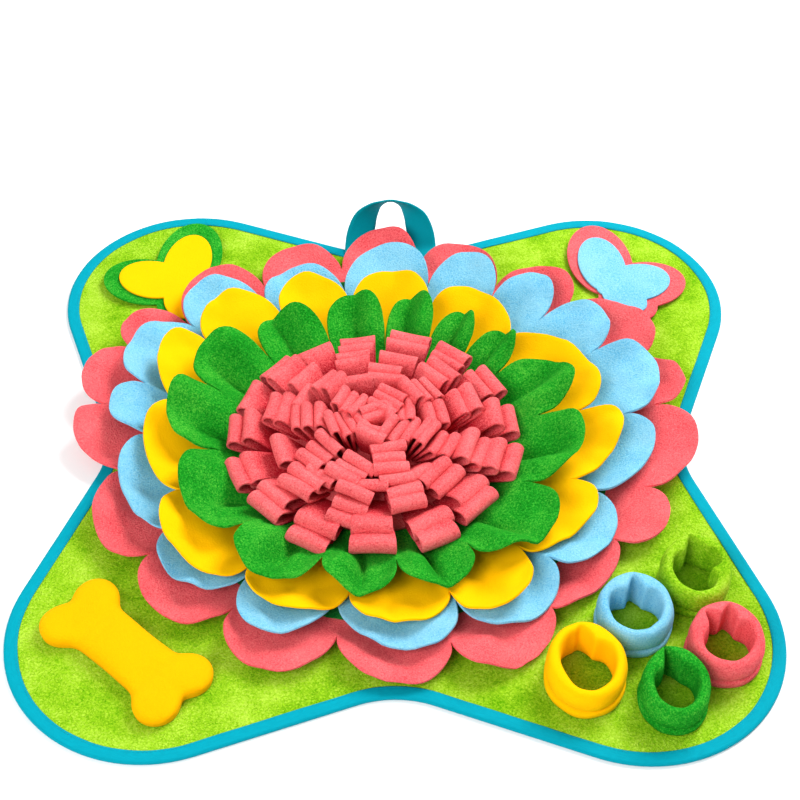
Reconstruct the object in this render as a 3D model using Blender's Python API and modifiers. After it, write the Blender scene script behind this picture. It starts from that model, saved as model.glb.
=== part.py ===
"""Snuffle mat: a bound, four-lobed fleece mat with a layered fleece flower, a pompom of folded
strips, a padded bone, five ring pockets, two corner flowers and a webbing carry handle.

Metres, +Z up, +Y towards the handle. The origin is under the mat's middle, on the floor.
"""
from collections import namedtuple
from math import acos, atan2, cos, hypot, pi, radians, sin, sqrt, tan
from random import Random

import bmesh
import bpy
from mathutils import Vector

MM = 0.001
GAP = 0.3 * MM              # between pieces that touch
SHARP_FOLD = radians(50)    # folds sharper than this aren't shaded smooth

# Mat: four round lobes joined by waists, straight between their arcs.
MAT_WIDTH = 700 * MM
WAIST_WIDTH = 569 * MM
LOBE_RADIUS = 133.3 * MM
WAIST_RADIUS = 96.5 * MM
LOBE_CENTRE = MAT_WIDTH / 2 - LOBE_RADIUS
MAT_THICK = 4.0 * MM
MAT_SWELL = 1.4 * MM        # depth of the soft hollows in the top
SHORT_WAVE = (31 * MM, 37 * MM)         # lengths of the hollows' waves along x and y
LONG_WAVE = (70 * MM, 52 * MM)
HOLLOW_SHARES = (0.9, 0.78)             # rings of the top that are hollowed
FLAT_SHARE = 0.66                       # and the flat one inside them, under the flower
RIM_LOW = 1.2 * MM          # the rim is pressed thinner inside the binding
RIM_TOP = 3.2 * MM
RIM_SLOPE = 3 * MM          # width of the slope beside the binding

# Binding: a tape folded over the rim.
BINDING_WIDTH = 12.5 * MM
BINDING_THICK = 0.9 * MM
BINDING_TOP = RIM_TOP + GAP + BINDING_THICK
BINDING_ROUND = 0.6 * MM    # bevel of the fold

# Handle: a webbing loop whose ends are sewn on over the binding and which turns on edge at
# its top. Its middle line goes from a sewn end to the top: distance to the side, y and height
# in mm, and how far the webbing has turned on edge, in degrees.
WEBBING_WIDTH = 30 * MM
WEBBING_THICK = 1.8 * MM
HANDLE_MIDDLE_X = -5 * MM
HandleStation = namedtuple("HandleStation", "side y z turn")
HANDLE_STATIONS = [HandleStation(*row) for row in (
    (35, 274, 5.6, 0), (35, 286, 5.6, 0), (35, 298, 8, 0), (33, 309, 18, 14),
    (27, 320, 31, 34), (17, 327, 41, 62), (7, 330, 45.5, 84), (0, 330.5, 46.5, 90))]
ON_EDGE = Vector((0, 0.74, -0.67))      # the webbing's width direction at the loop's top

FLEECE = 2.2 * MM           # thickness of the petal sheets
LAYER = FLEECE + GAP
DISC_X = -12 * MM
DISC_Y = 19 * MM
DISC_RADIUS = 226 * MM
DISC_THICK = 1.8 * MM
DISC_SIDES = 48

PINK_BASE = MAT_THICK + GAP
DISC_BASE = PINK_BASE + LAYER
BLUE_BASE = DISC_BASE + DISC_THICK + GAP
YELLOW_BASE = BLUE_BASE + LAYER
GREEN_BASE = YELLOW_BASE + LAYER
POMPOM_BASE = GREEN_BASE + LAYER

# One petal of a flower sheet: direction of its tip in degrees and reach in mm, both from the
# sheet's middle, and the same for the notch after it, anticlockwise.
Petal = namedtuple("Petal", "angle reach end end_reach")
PINK_PETALS = [Petal(*row) for row in (
    (11, 309, 18, 276), (27, 304, 41, 262), (50, 285, 60, 246), (71, 276, 81, 245),
    (90, 281, 101, 245), (112, 274, 122, 248), (133, 285, 145, 252), (152, 296, 160, 276),
    (168, 307, 177, 283), (184, 303, 194, 263), (207, 301, 218, 278), (229, 305, 239, 270),
    (249, 307, 261, 265), (273, 303, 283, 278), (292, 308, 304, 280), (318, 280, 326, 268),
    (334, 296, 342, 272), (355, 309, 364, 277))]
BLUE_PETALS = [Petal(*row) for row in (
    (14, 282, 24, 240), (34, 268, 42, 226), (50, 259, 58, 216), (67, 254, 77, 212),
    (88, 251, 102, 206), (115, 240, 126, 211), (135, 264, 147, 238), (159, 274, 170, 247),
    (178, 269, 185, 233), (197, 262, 215, 246), (226, 268, 237, 229), (247, 270, 259, 217),
    (275, 267, 287, 231), (299, 268, 312, 235), (327, 256, 337, 220), (352, 264, 361, 243))]
YELLOW_PETALS = [Petal(*row) for row in (
    (22, 224, 46, 186), (63, 213, 75, 182), (87, 218, 101, 184), (113, 223, 124, 191),
    (135, 236, 149, 209), (155, 246, 171, 208), (182, 232, 203, 214), (219, 245, 234, 214),
    (248, 230, 261, 201), (272, 228, 287, 209), (300, 237, 311, 194), (332, 222, 341, 194),
    (361, 232, 368, 197))]
GREEN_PETALS = [Petal(*row) for row in (
    (20, 201, 36, 160), (46, 186, 53, 148), (61, 185, 69, 148), (78, 190, 87, 150),
    (98, 187, 110, 152), (124, 190, 136, 158), (148, 203, 162, 174), (174, 204, 187, 165),
    (206, 199, 224, 172), (239, 202, 252, 165), (266, 189, 277, 166), (289, 191, 302, 172),
    (324, 199, 338, 165), (359, 199, 369, 166))]

# Flower sheets, lowest first. A sheet is flat inside its seam circle and rises to its petal
# tips, which stand higher at the back than at the front. All lengths in mm but base.
Flower = namedtuple("Flower", "name colour x y base seam front back radius trough petals")
FLOWERS = (
    Flower("pink_petals", "coral", -12, 27, PINK_BASE, 236, 14, 34, 298, 0, PINK_PETALS),
    Flower("blue_petals", "sky", -12, 19, BLUE_BASE, 180, 24, 40, 261, 0, BLUE_PETALS),
    Flower("yellow_petals", "yellow", -11, 3, YELLOW_BASE, 145, 30, 46, 226, 0, YELLOW_PETALS),
    Flower("green_petals", "green", -18, -12, GREEN_BASE, 108, 36, 54, 191, 9, GREEN_PETALS),
)
PETAL_SPOTS = (-1, -0.88, -0.66, -0.35, 0, 0.35, 0.66, 0.88)   # point columns from a notch
PETAL_ROUND = 0.62          # power that rounds a petal's edge: 0.5 is an oval, 1 a pointed leaf
SHEET_RISE = 1.25           # power of the sheets' upward curve
PETAL_ROWS = (0.55, 1.0)    # shares of the way from seam to edge
TROUGH_HALF = 0.6           # half width of a petal's trough, as a share of the petal's
TROUGH_POWER = 1.5          # how late the trough deepens on its way out

# Pompom: circles of folded strip loops on a low dome. Radii, lengths and widths in mm.
POMPOM_X = -20 * MM
POMPOM_Y = -10 * MM
DOME_PROFILE = ((0, 21), (45, 18.5), (75, 14), (93, 9), (101, 4), (101, 0))   # radius, height
DOME_STEPS = 28
LoopRow = namedtuple("LoopRow", "count radius lean length width")
LOOP_ROWS = (
    LoopRow(17, 89, 66, 52, 41),
    LoopRow(14, 74, 51, 46, 39),
    LoopRow(11, 58, 38, 42, 37),
    LoopRow(8, 43, 26, 39, 35),
    LoopRow(5, 27, 15, 37, 33),
    LoopRow(2, 10, 6, 36, 30),
)
LOOP_HALF = 5.0 * MM        # half the thickness of a loop, at mid strip
LOOP_STRIP = 2.4 * MM       # thickness of its strip
LOOP_ROOT = 3 * MM          # depth of its root in the dome
LEAST_ROOT = 4 * MM         # least half width of a root
ROOT_SPACE = 0.8 * MM       # half the space between neighbouring roots
LOOP_SPREAD = 0.9           # share of the space opened by the lean that the head fills
# Shares of the way along the loop, and of LOOP_HALF to one side, from root to root.
LOOP_PATH = ((0, -0.5), (0.8, -1), (1, 0), (0.8, 1), (0, 0.5))
LENGTH_CHANGE = 3           # mm, and the changes of lean and spin are in degrees
LEAN_CHANGE = 1.5
SPIN_CHANGE = 4
LOOP_SEED = 11

# Corner flowers: three oval petals each. Angles in degrees, lengths and widths in mm.
Leaf = namedtuple("Leaf", "angle length width")
CornerSheet = namedtuple("CornerSheet", "name colour x y base leaves")
CORNER_SHEETS = (
    CornerSheet("left_flower_green", "green", -231, 235, PINK_BASE,
                (Leaf(82, 97, 70), Leaf(172, 84, 70), Leaf(280, 58, 56))),
    CornerSheet("left_flower_yellow", "yellow", -231, 235, DISC_BASE,
                (Leaf(82, 84, 54), Leaf(167, 68, 56), Leaf(280, 54, 40))),
    CornerSheet("right_flower_pink", "coral", 231, 235, PINK_BASE,
                (Leaf(98, 97, 70), Leaf(8, 84, 70), Leaf(312, 62, 56))),
    CornerSheet("right_flower_blue", "sky", 231, 235, DISC_BASE,
                (Leaf(98, 84, 54), Leaf(13, 68, 56), Leaf(312, 50, 40))),
)
LEAF_COLUMNS = 40           # points round a sheet
LEAF_MIDDLE = 0.45          # share of its length from the hub to a leaf's widest place
LEAF_ROWS = ((0.4, 0), (0.75, 0.4), (1.0, 1.0)) # shares of the way out, and of the lift there
LEAF_HUB = 14 * MM          # least radius between leaves
LEAF_LIFT = 5 * MM          # rise of a leaf's tip
LIFTED_LENGTH = 90 * MM     # length of a leaf that rises by LEAF_LIFT; shorter ones rise less

# Bone: a padded shape with two knobs at each end.
BONE_X = -239 * MM
BONE_Y = -239 * MM
BONE_TURN = radians(-41.8)
BONE_HALF = 61 * MM         # middle to a knob's centre, along
KNOB_SIDE = 17 * MM         # and across
KNOB_RADIUS = 25 * MM
SHAFT_HALF = 27 * MM
SHAFT_DRAWN_IN = 1 * MM     # at the shaft's middle
KNOB_STEPS = 9
# The line that the bone's loops are drawn in towards: its share of the length, and of the width
# at the knobs.
SPINE_LENGTH = 0.95
SPINE_WIDTH = 0.35
# Share of the way out from the bone's spine, and height over the mat in mm, bottom to top.
BONE_SECTION = ((0.94, 0), (1.0, 5), (0.94, 10), (0.76, 14), (0.45, 16.5))

# Ring pockets: soft upright fleece collars. Places and half widths in mm.
# dent is the direction, in degrees, of the fold that pushes the collar's wall inwards.
Pocket = namedtuple("Pocket", "name colour x y half_x half_y dent")
POCKETS = (
    Pocket("ring_pocket_lime", "lime", 273, -164, 34, 36, 345),
    Pocket("ring_pocket_blue", "sky", 213, -207, 35.5, 36, 88),
    Pocket("ring_pocket_pink", "coral", 290, -239, 35, 36, 110),
    Pocket("ring_pocket_yellow", "yellow", 165, -266, 36.5, 40, 55),
    Pocket("ring_pocket_green", "green", 240, -287, 31, 36, 100),
)
POCKET_STATIONS = 20
POCKET_BACK = 0.28          # how much higher the collar's back stands than its front
DENT_DEPTH = 5              # mm
DENT_TURN = 32              # degrees to either side
DENT_FOOT = 12              # mm over the mat, where the dent reaches its full depth
# Distance in from the outer wall and height over the mat, in mm, round the collar's section.
POCKET_SECTION = (
    (0.5, 0), (0, 6), (2.5, 9), (0, 19), (3, 29), (8, 30.5), (12, 25), (12.5, 4), (9, 0))

COLOURS = {
    "lime": (0.35, 0.63, 0.02), "teal": (0.0, 0.44, 0.58), "coral": (0.95, 0.15, 0.18),
    "sky": (0.29, 0.63, 0.85), "yellow": (1.0, 0.68, 0.0), "green": (0.01, 0.39, 0.03),
    "dark_green": (0.01, 0.16, 0.03),
}


def clear_scene():
    """Remove every object, so that the model starts from nothing."""
    for thing in list(bpy.data.objects):
        bpy.data.objects.remove(thing, do_unlink=True)


def new_collection(name):
    """A collection linked to the scene."""
    group = bpy.data.collections.new(name)
    bpy.context.scene.collection.children.link(group)
    return group


def cloth_material(name, colour, roughness=0.95):
    """Matt cloth of one colour."""
    material = bpy.data.materials.new(name)
    material.use_nodes = True
    shader = material.node_tree.nodes["Principled BSDF"]
    shader.inputs["Base Color"].default_value = (*COLOURS[colour], 1)
    shader.inputs["Roughness"].default_value = roughness
    shader.inputs["Metallic"].default_value = 0
    return material


def add_object(name, mesh, group, colour):
    """Put a mesh in a collection as a named object of its own material."""
    thing = bpy.data.objects.new(name, mesh)
    group.objects.link(thing)
    mesh.materials.append(cloth_material(name + "_cloth", colour))
    return thing


def mesh_of(name, points, faces, closed=True):
    """Mesh from points and faces, smooth but for sharp folds, its faces pointing out or up."""
    mesh = bpy.data.meshes.new(name)
    mesh.from_pydata(points, [], faces)
    shape = bmesh.new()
    shape.from_mesh(mesh)
    if closed:
        bmesh.ops.recalc_face_normals(shape, faces=shape.faces)
    shape.to_mesh(mesh)
    shape.free()
    mesh.shade_smooth()
    mesh.set_sharp_from_angle(angle=SHARP_FOLD)
    return mesh


def loft_faces(sections, points_each, wrap_sections):
    """Quads between neighbouring closed sections, with flat ends unless the last meets the first."""
    faces = []
    last = sections if wrap_sections else sections - 1
    for section in range(last):
        here = section * points_each
        there = (section + 1) % sections * points_each
        for point in range(points_each):
            beside = (point + 1) % points_each
            faces.append((here + point, here + beside, there + beside, there + point))
    if not wrap_sections:
        faces.append(tuple(range(points_each)))
        faces.append(tuple((sections - 1) * points_each + point for point in range(points_each)))
    return faces


def loft(name, group, colour, sections, wrap_sections=False):
    """Closed body through sections that each hold the same number of points."""
    points = [point for section in sections for point in section]
    faces = loft_faces(len(sections), len(sections[0]), wrap_sections)
    return add_object(name, mesh_of(name, points, faces), group, colour)


# ---------------------------------------------------------------- mat, binding, handle

def arc(centre, radius, start, stop, steps):
    """Points on an arc, both ends included, angles in radians."""
    turns = [start + (stop - start) * step / steps for step in range(steps + 1)]
    return [(centre[0] + radius * cos(turn), centre[1] + radius * sin(turn)) for turn in turns]


def mat_outline(inset, waist_steps=2, side_steps=2, lobe_steps=6):
    """The mat's outline moved in by inset: half a waist, a side and half a lobe, eight times."""
    waist_centre = (0, WAIST_WIDTH / 2 + WAIST_RADIUS)
    across = LOBE_CENTRE - waist_centre[1]
    apart = hypot(LOBE_CENTRE, across)
    tangent = atan2(across, LOBE_CENTRE) - acos((LOBE_RADIUS + WAIST_RADIUS) / apart)
    waist = arc(waist_centre, WAIST_RADIUS + inset, -pi / 2, tangent, waist_steps)
    lobe = arc((LOBE_CENTRE, LOBE_CENTRE), LOBE_RADIUS - inset, tangent + pi, pi / 4, lobe_steps)
    side = []
    for step in range(1, side_steps):
        share = step / side_steps
        side.append(tuple(a + (b - a) * share for a, b in zip(waist[-1], lobe[0])))
    eighth = waist + side + lobe
    quarter = [(y, x) for x, y in eighth] + eighth[-2:0:-1]
    outline = []
    for turn in range(4):
        c, s = round(cos(turn * pi / 2)), round(sin(turn * pi / 2))
        outline += [(c * x - s * y, s * x + c * y) for x, y in quarter]
    return outline


def level(outline, height):
    """An outline's points at one height."""
    return [(x, y, height) for x, y in outline]


def hollow(x, y):
    """Depth of the mat's top below its full thickness, in soft waves."""
    short_wave = sin(x / SHORT_WAVE[0] + 1) * cos(y / SHORT_WAVE[1])
    long_wave = sin(y / LONG_WAVE[1] - x / LONG_WAVE[0])
    return MAT_SWELL * (2 - short_wave - long_wave) / 4


def scaled(outline, share):
    """An outline drawn in towards the middle."""
    return [(x * share, y * share) for x, y in outline]


def mat_panel(group):
    """Fleece panel: flat underneath, waved on top, pressed thin where the binding holds it."""
    rim = mat_outline(GAP + BINDING_THICK)
    grip = mat_outline(BINDING_WIDTH + GAP)
    body = mat_outline(BINDING_WIDTH + RIM_SLOPE)
    sections = [
        level(body, 0),
        level(grip, RIM_LOW),
        level(rim, RIM_LOW),
        level(rim, RIM_TOP),
        level(grip, RIM_TOP),
        level(body, MAT_THICK),
    ]
    for share in HOLLOW_SHARES:
        sections.append([(x, y, MAT_THICK - hollow(x, y)) for x, y in scaled(body, share)])
    sections.append(level(scaled(body, FLAT_SHARE), MAT_THICK))
    return loft("mat_panel", group, "lime", sections)


def edge_binding(group):
    """Tape folded over the rim: a C-shaped section taken round the outline."""
    thick, fold = BINDING_THICK, BINDING_ROUND
    profile = (
        (0, fold), (fold, 0), (BINDING_WIDTH, 0), (BINDING_WIDTH, thick),
        (thick, thick), (thick, BINDING_TOP - thick), (BINDING_WIDTH, BINDING_TOP - thick),
        (BINDING_WIDTH, BINDING_TOP), (fold, BINDING_TOP), (0, BINDING_TOP - fold))
    loops = [level(mat_outline(inset), height) for inset, height in profile]
    sections = [list(section) for section in zip(*loops)]
    return loft("edge_binding", group, "teal", sections, wrap_sections=True)


def handle_section(stations, index):
    """Four corners of the webbing at one station, square to its middle line."""
    before = stations[max(index - 1, 0)]
    after = stations[min(index + 1, len(stations) - 1)]
    along = (after[0] - before[0]).normalized()
    middle, turn = stations[index]
    flat = Vector((1, 0, 0))
    width = flat * cos(turn) + ON_EDGE * sin(turn)
    width = (width - along * width.dot(along)).normalized() * WEBBING_WIDTH / 2
    face = width.cross(along).normalized() * WEBBING_THICK / 2
    return [middle + width + face, middle + width - face, middle - width - face, middle - width + face]


def carry_handle(group):
    """Webbing loop sewn to the back waist."""
    stations = []
    for side, rows in ((-1, HANDLE_STATIONS), (1, HANDLE_STATIONS[-2::-1])):
        for row in rows:
            middle = Vector((HANDLE_MIDDLE_X + side * row.side * MM, row.y * MM, row.z * MM))
            turn = radians(row.turn) if side < 0 else pi - radians(row.turn)
            stations.append((middle, turn))
    sections = [handle_section(stations, index) for index in range(len(stations))]
    return loft("carry_handle", group, "teal", sections)


# ---------------------------------------------------------------- petal sheets

def add_sheet(name, group, colour, rings, thickness):
    """Cloth sheet: a flat middle, rings of points out to the edge, and one even thickness."""
    columns = len(rings[0])
    points = [point for ring in rings for point in ring]
    faces = [tuple(range(columns))]
    for ring in range(len(rings) - 1):
        here, there = ring * columns, (ring + 1) * columns
        for column in range(columns):
            beside = (column + 1) % columns
            faces.append((here + column, there + column, there + beside, here + beside))
    sheet = add_object(name, mesh_of(name, points, faces, closed=False), group, colour)
    solid = sheet.modifiers.new("thickness", "SOLIDIFY")
    solid.thickness = thickness
    solid.offset = 1
    return sheet


def petal_columns(flower):
    """Direction, edge radius and place across its petal of each column of points."""
    columns = []
    for index, petal in enumerate(flower.petals):
        before = flower.petals[index - 1]
        start = before.end - 360 * round((before.end - petal.angle) / 360)
        half = (petal.end - start) / 2
        tip = (petal.angle - start) / half - 1
        for spot in PETAL_SPOTS:
            skewed = (spot - tip) / (1 - tip * spot)
            notch = before.end_reach + (petal.end_reach - before.end_reach) * (spot + 1) / 2
            edge = notch + (petal.reach - notch) * max(0, 1 - skewed ** 2) ** PETAL_ROUND
            columns.append((radians(start + half * (spot + 1)), edge * MM, spot))
    return columns


def sheet_height(flower, radius, angle, spot):
    """Underside of a flower sheet."""
    tip = (flower.front + (flower.back - flower.front) * (1 + sin(angle)) / 2) * MM
    out = max(0, (radius - flower.seam * MM) / ((flower.radius - flower.seam) * MM))
    trough = flower.trough * MM * max(0, 1 - abs(spot) / TROUGH_HALF) * min(out, 1) ** TROUGH_POWER
    return flower.base + (tip - flower.base) * out ** SHEET_RISE - trough


def flower_sheet(group, flower):
    """One scalloped layer of the big flower."""
    columns = petal_columns(flower)
    seam = flower.seam * MM
    rings = []
    for share in (0, *PETAL_ROWS):
        ring = []
        for angle, edge, spot in columns:
            radius = seam + (edge - seam) * share
            ring.append((flower.x * MM + radius * cos(angle), flower.y * MM + radius * sin(angle),
                         sheet_height(flower, radius, angle, spot)))
        rings.append(ring)
    return add_sheet(flower.name, group, flower.colour, rings, FLEECE)


def flower_disc(group):
    """Fleece disc under the blue petals."""
    shape = bmesh.new()
    bmesh.ops.create_cone(shape, cap_ends=True, segments=DISC_SIDES, radius1=DISC_RADIUS,
                          radius2=DISC_RADIUS, depth=DISC_THICK)
    mesh = bpy.data.meshes.new("flower_disc")
    shape.to_mesh(mesh)
    shape.free()
    disc = add_object("flower_disc", mesh, group, "dark_green")
    disc.location = (DISC_X, DISC_Y, DISC_BASE + DISC_THICK / 2)
    return disc


def leaf_edge(sheet, angle):
    """Edge radius of a corner flower's sheet: the far side of its oval leaves."""
    reach = LEAF_HUB
    for leaf in sheet.leaves:
        off = angle - radians(leaf.angle)
        middle = LEAF_MIDDLE * leaf.length * MM
        long, wide = leaf.length * MM - middle, leaf.width / 2 * MM
        a = (cos(off) / long) ** 2 + (sin(off) / wide) ** 2
        b = cos(off) * middle / long ** 2
        reach = max(reach, (b + sqrt(b * b + a * (1 - (middle / long) ** 2))) / a)
    return reach


def corner_sheet(group, sheet):
    """One layer of a corner flower, its leaf tips a little lifted."""
    rings = []
    for share, lift in LEAF_ROWS:
        ring = []
        for column in range(LEAF_COLUMNS):
            angle = 2 * pi * column / LEAF_COLUMNS
            edge = leaf_edge(sheet, angle)
            radius = edge * share
            height = sheet.base + LEAF_LIFT * lift * (edge / LIFTED_LENGTH) ** 2
            ring.append((sheet.x * MM + radius * cos(angle), sheet.y * MM + radius * sin(angle), height))
        rings.append(ring)
    return add_sheet(sheet.name, group, sheet.colour, rings, FLEECE)


# ---------------------------------------------------------------- pompom

def dome_height(radius):
    """Height of the dome's top over its base, at a distance from its axis."""
    for (near, high), (far, low) in zip(DOME_PROFILE, DOME_PROFILE[1:]):
        if radius <= far * MM:
            share = (radius / MM - near) / (far - near)
            return (high + (low - high) * share) * MM
    return 0


def turned_dome(group):
    """Sewn backing of the strips: a low turned dome with a flat underside."""
    mesh = bpy.data.meshes.new("strip_pompom")
    profile = [(radius * MM, 0, height * MM) for radius, height in DOME_PROFILE]
    profile.append((0, 0, 0))
    mesh.from_pydata(profile, [(step, step + 1) for step in range(len(profile) - 1)], [])
    dome = add_object("strip_pompom", mesh, group, "coral")
    dome.location = (POMPOM_X, POMPOM_Y, POMPOM_BASE)
    turn = dome.modifiers.new("turn", "SCREW")
    turn.steps = DOME_STEPS
    turn.render_steps = DOME_STEPS
    turn.use_merge_vertices = True
    turn.merge_threshold = 0.05 * MM
    return dome


def loop_points(row, angle, lean, length, spin):
    """Points of one folded strip, left and right edge by turns, from root to root."""
    outward = Vector((cos(angle), sin(angle), 0))
    side = Vector((-sin(angle), cos(angle), 0))
    up = Vector((0, 0, 1))
    along = outward * sin(lean) + up * cos(lean)
    across = along.cross(side)
    side = (side * cos(spin) + across * sin(spin)).normalized()
    across = along.cross(side).normalized()
    radius = row.radius * MM
    root = outward * radius + up * (dome_height(radius) - LOOP_ROOT)
    room = 2 * (radius - LOOP_HALF - LOOP_STRIP) * tan(pi / row.count)
    root_half = max(LEAST_ROOT, min(row.width * MM, room) / 2 - ROOT_SPACE)
    opened = length * sin(lean) * sin(pi / row.count) * LOOP_SPREAD
    head_half = min(row.width * MM / 2, root_half + opened)
    points = []
    for far, off in LOOP_PATH:
        half = root_half + (head_half - root_half) * far
        middle = root + along * (length * far) + across * (LOOP_HALF * off)
        points += [middle - side * half, middle + side * half]
    return points


def strip_loops(group):
    """All the folded strips, in circles that lean outwards more and more."""
    chance = Random(LOOP_SEED)
    points, faces = [], []
    for number, row in enumerate(LOOP_ROWS):
        for place in range(row.count):
            angle = 2 * pi * (place + 0.5 * (number % 2)) / row.count
            length = (row.length + chance.uniform(-LENGTH_CHANGE, LENGTH_CHANGE)) * MM
            lean = radians(row.lean + chance.uniform(-LEAN_CHANGE, LEAN_CHANGE))
            spin = radians(chance.uniform(-SPIN_CHANGE, SPIN_CHANGE))
            first = len(points)
            points += loop_points(row, angle, lean, length, spin)
            for step in range(first, len(points) - 2, 2):
                faces.append((step, step + 1, step + 3, step + 2))
    loops = add_object("loops", mesh_of("loops", points, faces, closed=False), group, "coral")
    loops.location = (POMPOM_X, POMPOM_Y, POMPOM_BASE)
    solid = loops.modifiers.new("thickness", "SOLIDIFY")
    solid.thickness = LOOP_STRIP
    solid.offset = 0
    loops.hide_render = True
    loops.display_type = "WIRE"
    return loops


def strip_pompom(group, cutters):
    """Pompom: the strips' roots fused into the dome."""
    dome = turned_dome(group)
    fuse = dome.modifiers.new("fuse", "BOOLEAN")
    fuse.operation = "UNION"
    fuse.object = strip_loops(cutters)
    return dome


# ---------------------------------------------------------------- bone and ring pockets

def bone_outline():
    """Bone's edge in its own frame: a knob and half a side, four times."""
    notch = -atan2(KNOB_SIDE, sqrt(KNOB_RADIUS ** 2 - KNOB_SIDE ** 2))
    neck = pi - atan2(SHAFT_HALF - KNOB_SIDE, KNOB_RADIUS)
    knob = arc((BONE_HALF, KNOB_SIDE), KNOB_RADIUS, notch, neck, KNOB_STEPS)
    quarter = knob + [(0, SHAFT_HALF - SHAFT_DRAWN_IN)]
    half = quarter + [(-x, y) for x, y in quarter[-2::-1]]
    return half + [(x, -y) for x, y in half[-2:0:-1]]


def bone_pad(group):
    """Filled bone: loops drawn in towards its spine, crowned on top."""
    c, s = cos(BONE_TURN), sin(BONE_TURN)
    sections = []
    for share, height in BONE_SECTION:
        loop = []
        for x, y in bone_outline():
            spine_x = max(-BONE_HALF, min(BONE_HALF, x)) * SPINE_LENGTH
            spine_y = y * SPINE_WIDTH * min(1, abs(spine_x) / BONE_HALF)
            u = spine_x + (x - spine_x) * share
            v = spine_y + (y - spine_y) * share
            loop.append((BONE_X + c * u - s * v, BONE_Y + s * u + c * v,
                         PINK_BASE + height * MM))
        sections.append(loop)
    return loft("bone_pad", group, "yellow", sections)


def ring_pocket(group, pocket):
    """Soft collar sewn upright on the mat, with a thick base seam and a fold in its wall."""
    sections = []
    for station in range(POCKET_STATIONS):
        turn = 360 * station / POCKET_STATIONS
        angle = radians(turn)
        off_dent = abs((turn - pocket.dent + 180) % 360 - 180)
        dent = DENT_DEPTH * max(0, 1 - off_dent / DENT_TURN)
        rise = 1 + POCKET_BACK * (1 + sin(angle)) / 2
        section = []
        for inward, height in POCKET_SECTION:
            folded = inward + dent * min(1, height / DENT_FOOT)
            section.append((
                (pocket.x + (pocket.half_x - folded) * cos(angle)) * MM,
                (pocket.y + (pocket.half_y - folded) * sin(angle)) * MM,
                PINK_BASE + height * rise * MM))
        sections.append(section)
    return loft(pocket.name, group, pocket.colour, sections, wrap_sections=True)


def main():
    clear_scene()
    parts = new_collection("snuffle_mat")
    cutters = new_collection("cutters")
    mat_panel(parts)
    edge_binding(parts)
    carry_handle(parts)
    for flower in FLOWERS:
        flower_sheet(parts, flower)
    flower_disc(parts)
    strip_pompom(parts, cutters)
    for sheet in CORNER_SHEETS:
        corner_sheet(parts, sheet)
    bone_pad(parts)
    for pocket in POCKETS:
        ring_pocket(parts, pocket)


main()
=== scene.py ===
"""Looks of the snuffle mat: fleece sheets, folded strips, padded bone, ring pockets and tape.

Metres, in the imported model's frame: +Z up, +Y towards the handle. Sizes are in mm where a name
or a table says so. The petals' and leaves' tables start from the solids' own: here the notches
between petals are deeper and the top leaf of each corner flower's upper layer is smaller.
"""
from collections import namedtuple
from math import acos, atan2, cos, exp, hypot, pi, radians, sin, sqrt
from random import Random

import bmesh
import bpy
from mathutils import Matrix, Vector, noise


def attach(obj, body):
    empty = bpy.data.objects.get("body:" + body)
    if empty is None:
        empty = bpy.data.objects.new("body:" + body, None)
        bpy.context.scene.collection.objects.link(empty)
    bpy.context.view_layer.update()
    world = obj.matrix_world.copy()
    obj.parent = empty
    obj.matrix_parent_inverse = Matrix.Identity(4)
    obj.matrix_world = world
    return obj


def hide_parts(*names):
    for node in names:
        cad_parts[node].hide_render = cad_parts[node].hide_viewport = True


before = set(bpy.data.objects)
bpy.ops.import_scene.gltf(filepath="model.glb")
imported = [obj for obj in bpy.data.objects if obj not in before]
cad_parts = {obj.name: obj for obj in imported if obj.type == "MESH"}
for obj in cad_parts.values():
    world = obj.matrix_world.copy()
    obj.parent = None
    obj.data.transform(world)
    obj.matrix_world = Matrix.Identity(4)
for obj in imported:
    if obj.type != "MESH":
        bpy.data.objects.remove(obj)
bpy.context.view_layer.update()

MM = 0.001
GAP = 0.3 * MM

# Mat, binding and handle.
MAT_WIDTH = 700 * MM
WAIST_WIDTH = 569 * MM
LOBE_RADIUS = 133.3 * MM
WAIST_RADIUS = 96.5 * MM
LOBE_CENTRE = MAT_WIDTH / 2 - LOBE_RADIUS
MAT_THICK = 4.0 * MM
RIM_LOW = 1.2 * MM
RIM_TOP = 3.2 * MM
GRIP_SLOPE = 3 * MM
BINDING_WIDTH = 12.5 * MM
BINDING_THICK = 0.9 * MM
BINDING_TOP = RIM_TOP + GAP + BINDING_THICK
WEBBING_WIDTH = 30 * MM
WEBBING_THICK = 1.8 * MM
HANDLE_MIDDLE_X = -5 * MM

# Heights of the flower's layers.
FLEECE = 2.2 * MM
LAYER = FLEECE + GAP
DISC_RADIUS = 226 * MM
DISC_THICK = 1.8 * MM
DISC_STEPS = 120
PINK_BASE = MAT_THICK + GAP
DISC_BASE = PINK_BASE + LAYER
BLUE_BASE = DISC_BASE + DISC_THICK + GAP
YELLOW_BASE = BLUE_BASE + LAYER
GREEN_BASE = YELLOW_BASE + LAYER
POMPOM_BASE = GREEN_BASE + LAYER


# ---------------- materials

def settle(made, **values):
    """Settings of a node, _ for a space; a value that is a socket is linked."""
    for name, value in values.items():
        socket = made.inputs.get(name.replace("_", " "))
        if socket is None:
            setattr(made, name, value)
        elif isinstance(value, bpy.types.NodeSocket):
            made.id_data.links.new(value, socket)
        else:
            socket.default_value = value


def node(tree, kind, place, **values):
    """A shader node with its settings."""
    made = tree.nodes.new(kind)
    made.location = place
    settle(made, **values)
    return made


def new_material(name):
    """An empty material with its Principled shader."""
    material = bpy.data.materials.new(name)
    material.use_nodes = True
    return material, material.node_tree, material.node_tree.nodes["Principled BSDF"]


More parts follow.
